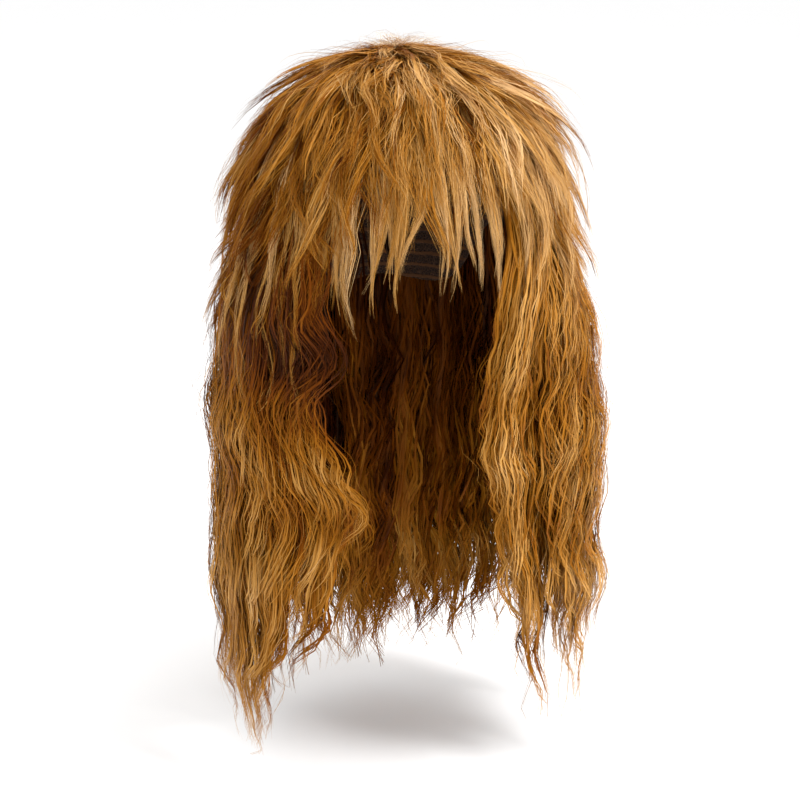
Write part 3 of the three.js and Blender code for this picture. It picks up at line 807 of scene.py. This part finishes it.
# Locks of each short layer, of the pale whorl, of the darker hair under the crown's locks, which is a painted
# shade, and of the backing of the fringe.
LOWER_LOCKS = 110
MIDDLE_LOCKS = 130
CROWN_LOCKS = 116
WHORL_LOCKS = 16
PELT_LOCKS = 50
BACKING_LOCKS = 44

# How much further the tips of the short layers stand off down the sides than at the top of the crown, and
# the length along the cap where that starts.
SHAGGINESS = 1.4
SHAGGY_FROM = 80 * MM

# Turn of the left temple, spread of the shorter locks over it, and how much shorter they are.
TEMPLE_TURN = 306
TEMPLE_SPREAD = 16
TEMPLE_SHORTER = 0.45


def build_short_layers():
    rng = np.random.default_rng(300)
    lower = short_locks(rng, FACE_TURN, 360 - FACE_TURN, LOWER_LOCKS, (85, 150), (85, 135), 0.98, 0.49)
    at_temple = 1 - TEMPLE_SHORTER * bump(lower["root_turn"], TEMPLE_TURN, TEMPLE_SPREAD)
    lower["tip_run"] = lower["root_run"] + (lower["tip_run"] - lower["root_run"]) * at_temple
    lower["lift"] = lower["lift"] * SHAGGINESS
    groups = [
        grow(rng, lower, 3, 14, 9, SHORT_STYLE),
        grow(rng, lower, 3, 3, 7, SHORT_CORE_STYLE),
        grow(rng, lower, 3, 3, 6, FUZZ_STYLE),
    ]
    piece = hair_object("lower_layer_strands", groups, fibre)
    finish_piece(piece, "lower_layer")

    rng = np.random.default_rng(400)
    middle = short_locks(rng, 0, 360, MIDDLE_LOCKS, (42, 105), (65, 100), 0.98, 0.51)
    middle["lift"] = middle["lift"] * SHAGGINESS
    groups = [
        grow(rng, middle, 3, 12, 9, SHORT_STYLE),
        grow(rng, middle, 3, 3, 6, SHORT_CORE_STYLE),
        grow(rng, middle, 3, 3, 6, FUZZ_STYLE),
    ]
    piece = hair_object("middle_layer_strands", groups, fibre)
    finish_piece(piece, "middle_layer")

    rng = np.random.default_rng(500)
    crown = short_locks(rng, 0, 360, CROWN_LOCKS, (-18, 60), (55, 90), 0.98, 0.48)
    crown["lift"] = crown["lift"] * np.where(crown["tip_run"] > SHAGGY_FROM, SHAGGINESS, 1)
    whorl = short_locks(rng, 0, 360, WHORL_LOCKS, (0, 8), (12, 22), 1.02, 0.93)
    whorl["root_share"] = np.full(WHORL_LOCKS, 1.0)
    whorl["lift"] = np.full(WHORL_LOCKS, 6 * MM)
    pelt = short_locks(rng, 0, 360, PELT_LOCKS, (-25, 90), (60, 90), 0.6, 0.36)
    pelt["root_share"] = rng.uniform(0.3, 0.62, PELT_LOCKS)
    pelt["lift"] = np.zeros(PELT_LOCKS)
    groups = [
        grow(rng, crown, 3, 12, 8, SHORT_STYLE),
        grow(rng, crown, 3, 3, 6, SHORT_CORE_STYLE),
        grow(rng, crown, 3, 4, 6, FUZZ_STYLE),
        grow(rng, pelt, 3, 5, 7, SHORT_CORE_STYLE),
        grow(rng, whorl, 3, 6, 7, WHORL_STYLE),
        grow(rng, stray_locks(rng), 1, 5, 24, STRAY_STYLE),
    ]
    piece = hair_object("crown_layer_strands", groups, fibre)
    finish_piece(piece, "crown_layer")


# Fringe locks: turn and depth below the crown of each tip, and the lock's width.
FRINGE_LOCKS = {
    "turn": (-36, -32, -28.5, -25, -22.1, -19, -16.7, -13, -10, -7.9,
             -5.1, 0.2, 2.5, 5.6, 10.1, 13.5, 17.4, 21, 25, 30),
    "depth": (172, 146, 134, 142, 159, 122, 145, 112, 120, 136,
              120, 129, 108, 127, 122, 114, 134, 124, 140, 160),
    "width": (14, 11, 10, 9, 12, 9, 10, 8, 6, 8, 8, 9, 7, 7, 6, 6, 9, 9, 11, 13),
}


# Stringy locks over the left temple: turn and depth below the crown of each tip, and width.
TEMPLE_LOCKS = {
    "turn": (-38, -41, -44, -48, -52, -56, -61, -67),
    "depth": (190, 236, 206, 238, 196, 226, 182, 214),
    "width": (7, 5, 7, 5, 7, 5, 8, 7),
}


def temple_locks(rng):
    tip_turn = np.array(TEMPLE_LOCKS["turn"], float)
    count = len(tip_turn)
    return {
        "root_turn": tip_turn * 0.95,
        "tip_turn": tip_turn,
        "arc": rng.normal(0, 2.5, count),
        "root_run": dome_run(tip_turn) * 0.62,
        "tip_run": run_to_depth(tip_turn, np.array(TEMPLE_LOCKS["depth"]) * MM),
        "root_share": np.full(count, 0.6),
        "tip_share": rng.uniform(1.0, 1.08, count),
        "width": np.array(TEMPLE_LOCKS["width"]) * MM,
        "thick": np.full(count, 4 * MM),
        "wave": rng.uniform(55, 85, count) * MM,
        "phase": rng.uniform(0, 2 * math.pi, count),
        "sway": rng.uniform(2, 4.5, count) * MM,
        "bulge": rng.uniform(1, 2.5, count) * MM,
        "curl": rng.uniform(2, 6, count) * MM,
        "lift": rng.uniform(1, 4, count) * MM,
        "tone": 0.84 + rng.normal(0, 0.04, count),
    }


def build_fringe():
    rng = np.random.default_rng(600)
    tip_turn = np.array(FRINGE_LOCKS["turn"], float)
    depth = np.array(FRINGE_LOCKS["depth"]) * MM
    count = len(tip_turn)
    root_turn = tip_turn * 0.86 + rng.normal(0, 2, count)
    locks = {
        "root_turn": root_turn,
        "tip_turn": tip_turn,
        "arc": rng.normal(0, 2.2, count),
        "root_run": dome_run(root_turn) * rng.uniform(0.42, 0.58, count),
        "tip_run": run_to_depth(tip_turn, depth) + 14 * MM,
        "root_share": np.full(count, 0.4),
        "tip_share": rng.uniform(0.7, 0.95, count),
        "width": np.array(FRINGE_LOCKS["width"]) * MM * 1.6,
        "thick": np.full(count, 5 * MM),
        "wave": rng.uniform(60, 100, count) * MM,
        "phase": rng.uniform(0, 2 * math.pi, count),
        "sway": rng.uniform(0.8, 2.4, count) * MM,
        "bulge": rng.uniform(0.5, 1.5, count) * MM,
        "curl": rng.uniform(0.5, 2.2, count) * MM,
        "lift": rng.normal(1, 2, count) * MM,
        "tone": 0.65 + rng.normal(0, 0.04, count),
    }
    edge = FACE_TURN + 4
    backing = short_locks(rng, -edge, edge, BACKING_LOCKS, (80, 112), (58, 82), 0.85, 0.46)
    backing["tip_turn"] = backing["root_turn"] + rng.normal(0, 3, BACKING_LOCKS)
    groups = [
        grow(rng, locks, 3, 26, 14, FRINGE_STYLE),
        grow(rng, backing, 3, 10, 9, SHORT_STYLE),
        grow(rng, temple_locks(rng), 2, 16, 20, TEMPLE_STYLE),
    ]
    piece = hair_object("fringe_strands", groups, fibre)
    finish_piece(piece, "fringe")


# Net of the cap: width of its meshes, and spacing of the rows of sewn hair that run round it.
NET_MESH = 2.2 * MM
ROW_SPACING = 9 * MM


def cap_material():
    material = bpy.data.materials.new("cap_net")
    material.use_nodes = True
    nodes = material.node_tree.nodes
    links = material.node_tree.links
    shader = nodes["Principled BSDF"]
    place = nodes.new("ShaderNodeTexCoord")

    mesh = nodes.new("ShaderNodeTexVoronoi")
    mesh.feature = "DISTANCE_TO_EDGE"
    mesh.inputs["Scale"].default_value = 1 / NET_MESH
    links.new(place.outputs["Object"], mesh.inputs["Vector"])
    thread = nodes.new("ShaderNodeMapRange")
    thread.inputs["From Max"].default_value = 0.16
    thread.inputs["To Min"].default_value = 1
    thread.inputs["To Max"].default_value = 0
    links.new(mesh.outputs["Distance"], thread.inputs["Value"])

    rows = nodes.new("ShaderNodeTexWave")
    rows.bands_direction = "Z"
    rows.inputs["Scale"].default_value = 2 * math.pi / 20 / ROW_SPACING
    rows.inputs["Distortion"].default_value = 0.8
    rows.inputs["Detail Scale"].default_value = 3
    links.new(place.outputs["Object"], rows.inputs["Vector"])
    sewn = nodes.new("ShaderNodeMapRange")
    sewn.inputs["From Min"].default_value = 0.72
    sewn.inputs["From Max"].default_value = 0.9
    links.new(rows.outputs["Fac"], sewn.inputs["Value"])

    netting = nodes.new("ShaderNodeValToRGB")
    netting.color_ramp.elements[0].color = srgb(52, 31, 18)
    netting.color_ramp.elements[1].color = srgb(92, 60, 36)
    links.new(thread.outputs["Result"], netting.inputs["Fac"])
    colour = nodes.new("ShaderNodeMix")
    colour.data_type = "RGBA"
    colour.inputs["B"].default_value = srgb(98, 60, 28)
    links.new(sewn.outputs["Result"], colour.inputs["Factor"])
    links.new(netting.outputs["Color"], colour.inputs["A"])
    links.new(colour.outputs["Result"], shader.inputs["Base Color"])

    height = nodes.new("ShaderNodeMath")
    height.operation = "MAXIMUM"
    links.new(thread.outputs["Result"], height.inputs[0])
    links.new(sewn.outputs["Result"], height.inputs[1])
    raised = nodes.new("ShaderNodeBump")
    raised.inputs["Distance"].default_value = 0.6 * MM
    links.new(height.outputs["Value"], raised.inputs["Height"])
    links.new(raised.outputs["Normal"], shader.inputs["Normal"])
    shader.inputs["Roughness"].default_value = 0.85
    return material


# Camera as in the photograph: its lens, distance, height of aim and angles.
CAMERA_AIM = Vector((0, 0, -241.5 * MM))
CAMERA_DISTANCE = 1217 * MM
CAMERA_AZIMUTH = math.radians(-10)
CAMERA_PITCH = math.radians(18)
CAMERA_LENS = 73.1
CAMERA_SENSOR = 36


def add_camera():
    data = bpy.data.cameras.new("camera")
    data.lens = CAMERA_LENS
    data.sensor_width = CAMERA_SENSOR
    data.clip_start = 0.01
    camera = bpy.data.objects.new("camera", data)
    towards_camera = (math.sin(CAMERA_AZIMUTH), -math.cos(CAMERA_AZIMUTH), math.tan(CAMERA_PITCH))
    away = Vector(towards_camera).normalized()
    camera.location = CAMERA_AIM + away * CAMERA_DISTANCE
    camera.rotation_euler = (-away).to_track_quat("-Z", "Y").to_euler()
    bpy.context.collection.objects.link(camera)
    bpy.context.scene.camera = camera


# Floor under the wig, a little below the longest tips.
FLOOR_LEVEL = -533 * MM
FLOOR_SIZE = 12


def add_stage():
    mesh = bpy.data.meshes.new("floor")
    signs = ((-1, -1), (1, -1), (1, 1), (-1, 1))
    corners = [(x * FLOOR_SIZE, y * FLOOR_SIZE, FLOOR_LEVEL) for x, y in signs]
    mesh.from_pydata(corners, [], [(0, 1, 2, 3)])
    floor = bpy.data.objects.new("floor", mesh)
    material = bpy.data.materials.new("floor")
    material.use_nodes = True
    shader = material.node_tree.nodes["Principled BSDF"]
    shader.inputs["Base Color"].default_value = (0.99, 0.99, 0.99, 1)
    shader.inputs["Roughness"].default_value = 0.9
    floor.data.materials.append(material)
    bpy.context.collection.objects.link(floor)

    world = bpy.data.worlds.new("studio")
    world.use_nodes = True
    background = world.node_tree.nodes["Background"]
    background.inputs["Color"].default_value = (1, 1, 1, 1)
    background.inputs["Strength"].default_value = 1.0
    bpy.context.scene.world = world
    bpy.context.scene.view_settings.view_transform = "Standard"

    def softbox(name, place, aim, size, power):
        data = bpy.data.lights.new(name, "AREA")
        data.shape = "DISK"
        data.size = size
        data.energy = power
        light = bpy.data.objects.new(name, data)
        light.location = place
        light.rotation_euler = (Vector(aim) - Vector(place)).to_track_quat("-Z", "Y").to_euler()
        bpy.context.collection.objects.link(light)

    softbox("key", (1.35, -0.95, 1.4), (0, 0, -0.2), 0.8, 42)
    softbox("top", (0.2, -0.3, 1.7), (0, 0, -0.1), 0.8, 12)


add_camera()
add_stage()
build_long_hair()
build_short_layers()
build_fringe()
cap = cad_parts["wig_cap"]
cap.data.materials.clear()
cap.data.materials.append(cap_material())
